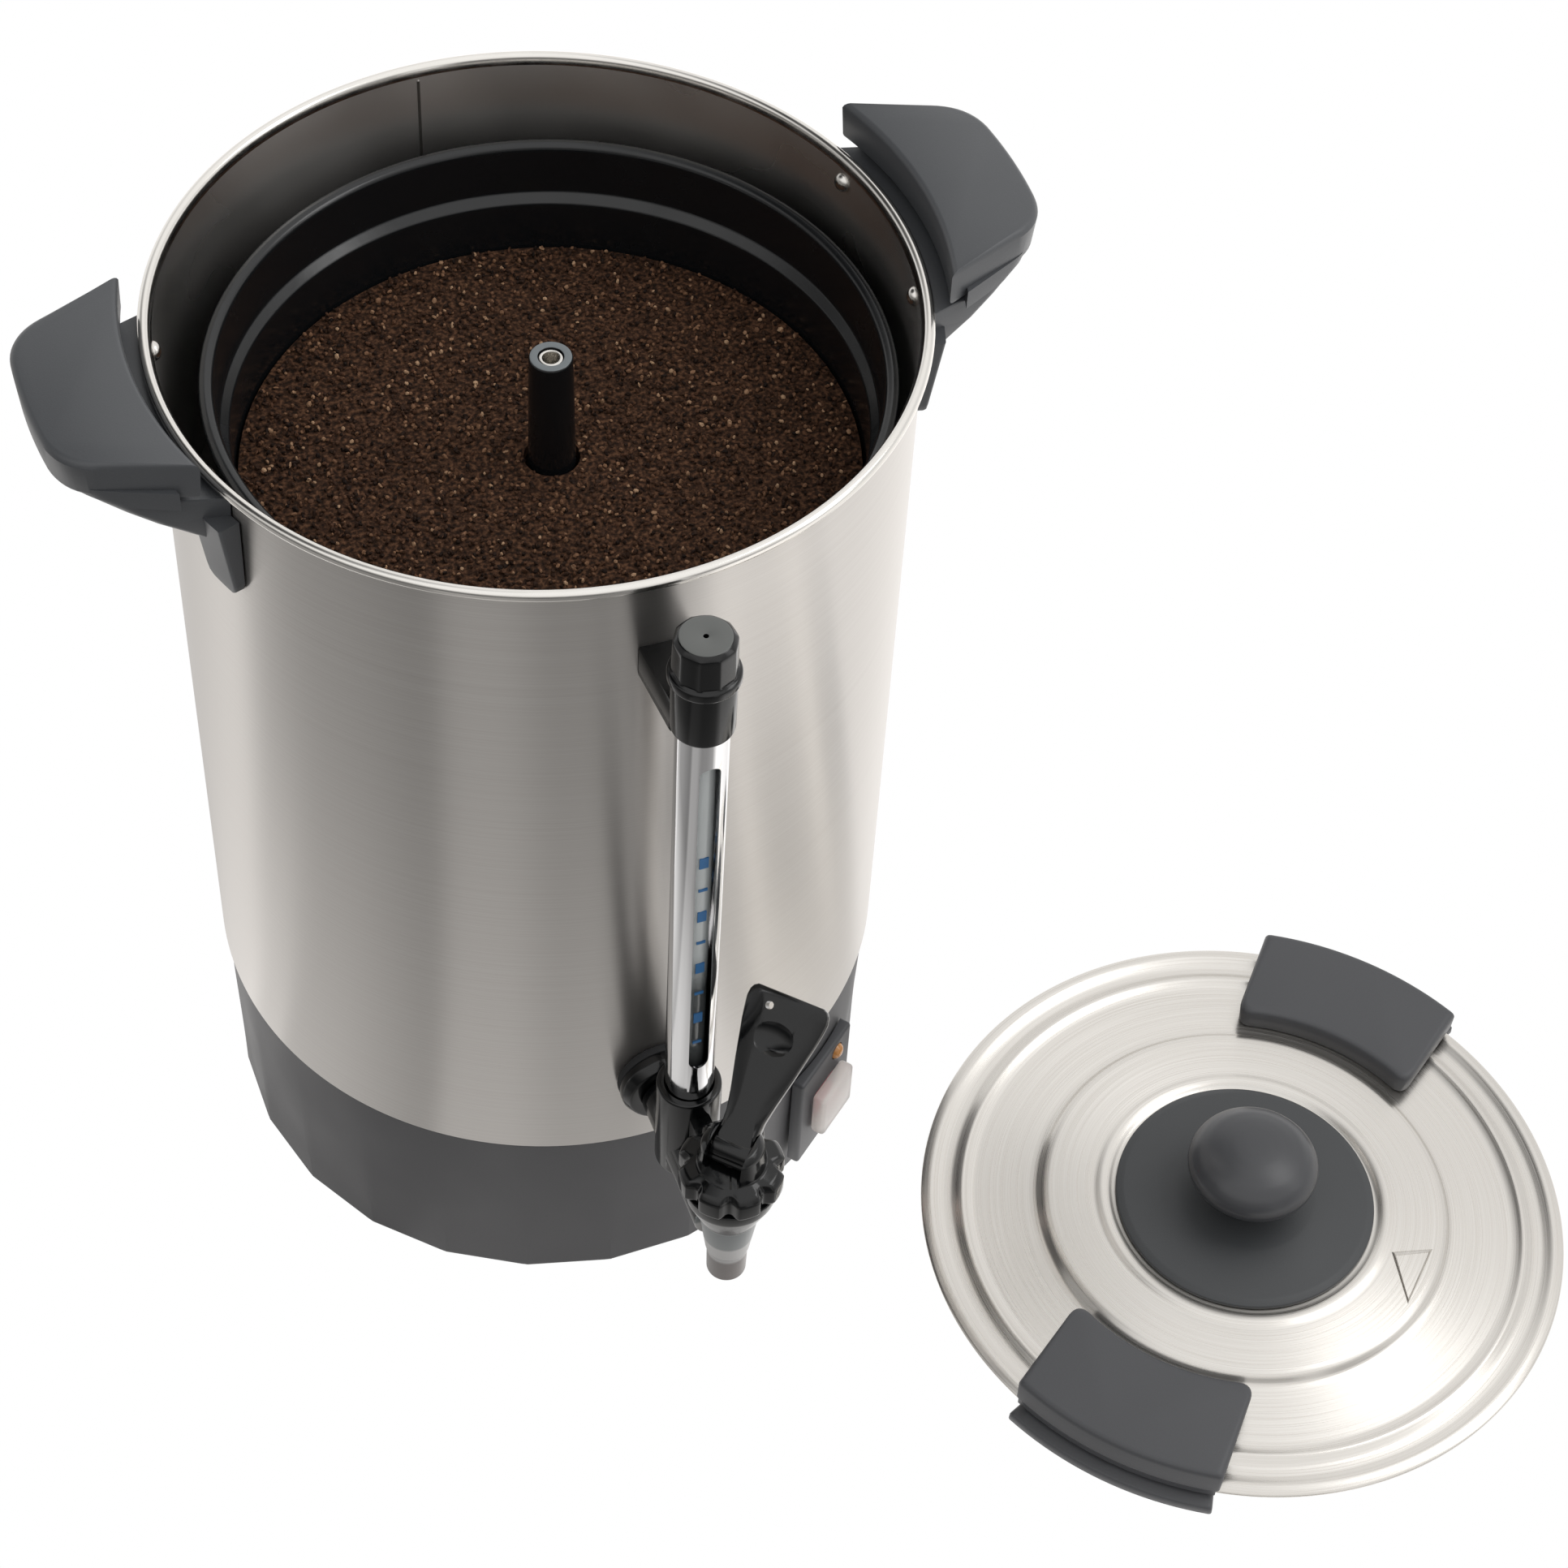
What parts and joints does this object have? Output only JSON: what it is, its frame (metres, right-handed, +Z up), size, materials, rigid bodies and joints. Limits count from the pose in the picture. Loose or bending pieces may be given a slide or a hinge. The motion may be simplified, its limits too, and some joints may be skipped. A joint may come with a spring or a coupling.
{
  "type": "coffee percolator",
  "caption": "Electric coffee percolator urn with side faucet, sight gauge, two handles, pump tube, grounds basket and a lid lying beside it.",
  "frame": {"origin": "centre of the urn's foot, on the surface it stands on", "axes": "+Z up along the tank's axis, -Y towards the faucet, +X towards the right handle seen from the faucet"},
  "size_m": [0.4631, 0.3939, 0.358],
  "materials": {
    "brushed_steel": "brushed, vertical grain on the wall",
    "bright_steel": "bright",
    "chrome": "polished",
    "charcoal_plastic": "satin moulded",
    "gloss_black_plastic": "gloss moulded",
    "dark_basket": "dark semi-gloss coating",
    "grey_plastic": "satin moulded",
    "rubber": "matt",
    "gauge_glass": "clear",
    "red_plastic": "satin",
    "amber_plastic": "clear amber",
    "clear_cover": "frosted soft plastic",
    "ground_coffee": "loose dry grains",
    "brass": "plain",
    "dark_steel": "oxidised"
  },
  "bodies": {
    "urn": {"tank_wall": "brushed_steel", "tank_floor": "brushed_steel", "base_ring": "charcoal_plastic", "base_plate": "charcoal_plastic", "base_screw_1": "bright_steel", "base_screw_2": "bright_steel", "base_screw_3": "bright_steel", "cord_gland": "rubber", "warming_element": "dark_steel", "pump_heater": "dark_steel", "thermostat": "charcoal_plastic", "thermal_fuse": "bright_steel", "terminal_block": "charcoal_plastic", "switch_panel": "charcoal_plastic", "switch_cover": "clear_cover", "switch_body": "charcoal_plastic", "indicator_lens": "amber_plastic", "handle_right": "charcoal_plastic", "handle_left": "charcoal_plastic", "rivet_right_front": "bright_steel", "rivet_right_back": "bright_steel", "rivet_left_front": "bright_steel", "rivet_left_back": "bright_steel", "gauge_bracket": "gloss_black_plastic", "bracket_screw": "bright_steel", "gauge_seal_top": "rubber", "gauge_seal_bottom": "rubber", "gauge_glass": "gauge_glass", "gauge_shield": "chrome", "faucet_body": "gloss_black_plastic", "shank_washer_outer": "rubber", "shank_flange": "gloss_black_plastic", "shank_washer_inner": "rubber", "shank_nut": "brass", "faucet_nozzle": "grey_plastic", "faucet_bonnet": "gloss_black_plastic", "lever_pin": "bright_steel", "stem_spring": "bright_steel"},
    "lever": {"faucet_lever": "gloss_black_plastic"},
    "valve_stem": {"faucet_stem": "charcoal_plastic", "seat_cup": "rubber"},
    "rocker": {"switch_rocker": "red_plastic"},
    "gauge_cap": {"gauge_cap": "gloss_black_plastic"},
    "pump": {"pump_tube": "bright_steel"},
    "pump_valve": {"pump_valve": "bright_steel"},
    "basket": {"basket": "dark_basket", "basket_sleeve": "dark_basket", "coffee_grounds": "ground_coffee"},
    "lid": {"lid_pan": "brushed_steel", "lid_tab_a_top": "charcoal_plastic", "lid_tab_a_clip": "charcoal_plastic", "lid_tab_b_top": "charcoal_plastic", "lid_tab_b_clip": "charcoal_plastic", "lid_disc": "charcoal_plastic", "lid_knob": "charcoal_plastic", "knob_screw": "bright_steel"}
  },
  "joints": [
    {"name": "lever_press", "type": "hinge", "parent": "urn", "child": "lever", "pos_m": [0, -0.1765, 0.157], "axis": [-0.6947, 0.7193, 0], "range_deg": [0, 28], "stiffness_Nm_per_rad": 0.4, "springref_deg": -14.32},
    {"name": "stem_lift", "type": "slide", "parent": "urn", "child": "valve_stem", "axis": [0, 0, 1], "range_m": [0, 0.003], "stiffness_N_per_m": 0.35, "springref_m": 0.029, "deforming": ["stem_spring"]},
    {"name": "switch_rock", "type": "hinge", "parent": "urn", "child": "rocker", "pos_m": [0.06972, -0.08765, 0.0335], "axis": [0.7826, 0.6225, 0], "range_deg": [0, 14]},
    {"name": "gauge_cap_lift", "type": "slide", "parent": "urn", "child": "gauge_cap", "axis": [0, 0, 1], "range_m": [0, 0.03]},
    {"name": "pump_lift", "type": "slide", "parent": "urn", "child": "pump", "axis": [0, 0, 1], "range_m": [0, 0.3]},
    {"name": "pump_valve_lift", "type": "slide", "parent": "pump", "child": "pump_valve", "axis": [0, 0, 1], "range_m": [0, 0.005]},
    {"name": "basket_lift", "type": "slide", "parent": "pump", "child": "basket", "axis": [0, 0, 1], "range_m": [0, 0.1]},
    {"name": "lid_lift", "type": "slide", "parent": "urn", "child": "lid", "axis": [0, 0, 1], "range_m": [0, 0.45]}
  ],
  "couplings": [
    {"joint": "stem_lift", "follows": "lever_press", "m_per_rad": 0.0057}
  ]
}
